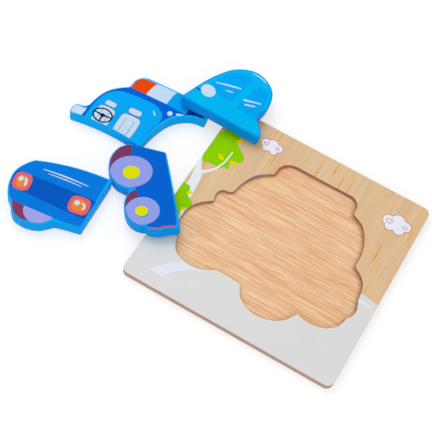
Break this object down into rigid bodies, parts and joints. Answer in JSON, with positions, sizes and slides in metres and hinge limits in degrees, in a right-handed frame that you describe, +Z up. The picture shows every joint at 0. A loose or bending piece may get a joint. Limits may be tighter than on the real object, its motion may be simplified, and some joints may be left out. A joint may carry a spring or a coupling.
{
  "type": "wooden jigsaw puzzle",
  "caption": "Square wooden tray with a car-shaped recess, and thick painted pieces that fill it, lying loose beside the tray.",
  "frame": {"origin": "centre of the tray's flat underside, on the table", "axes": "+X along the tray's front edge, away from the loose pieces; +Y towards the tray's back edge; +Z up"},
  "size_m": [0.2449, 0.1842, 0.0204],
  "materials": {
    "beech_board": "bare beech-coloured board with a fine straight grain",
    "birch_board": "pale board, printed on top with a grey road, clouds and leaves",
    "hood_piece_paint": "satin blue paint on solid wood",
    "windscreen_piece_paint": "satin light blue paint on solid wood",
    "side_piece_paint": "satin dark blue paint on solid wood",
    "dome_piece_paint": "satin sky blue paint on solid wood"
  },
  "bodies": {
    "tray": {"tray_base": "beech_board", "tray_frame": "birch_board"},
    "hood": {"hood_piece": "hood_piece_paint"},
    "windscreen": {"windscreen_piece": "windscreen_piece_paint"},
    "side": {"side_piece": "side_piece_paint"},
    "dome": {"dome_piece": "dome_piece_paint"}
  },
  "joints": [
    {"name": "hood_lift", "type": "slide", "parent": "tray", "child": "hood", "axis": [0, 0, 1], "range_m": [0, 0.05]},
    {"name": "windscreen_lift", "type": "slide", "parent": "tray", "child": "windscreen", "axis": [0, 0, 1], "range_m": [0, 0.05]},
    {"name": "side_lift", "type": "slide", "parent": "tray", "child": "side", "axis": [0, 0, 1], "range_m": [0, 0.05]},
    {"name": "dome_lift", "type": "slide", "parent": "windscreen", "child": "dome", "axis": [0, 0, 1], "range_m": [0, 0.05]}
  ]
}
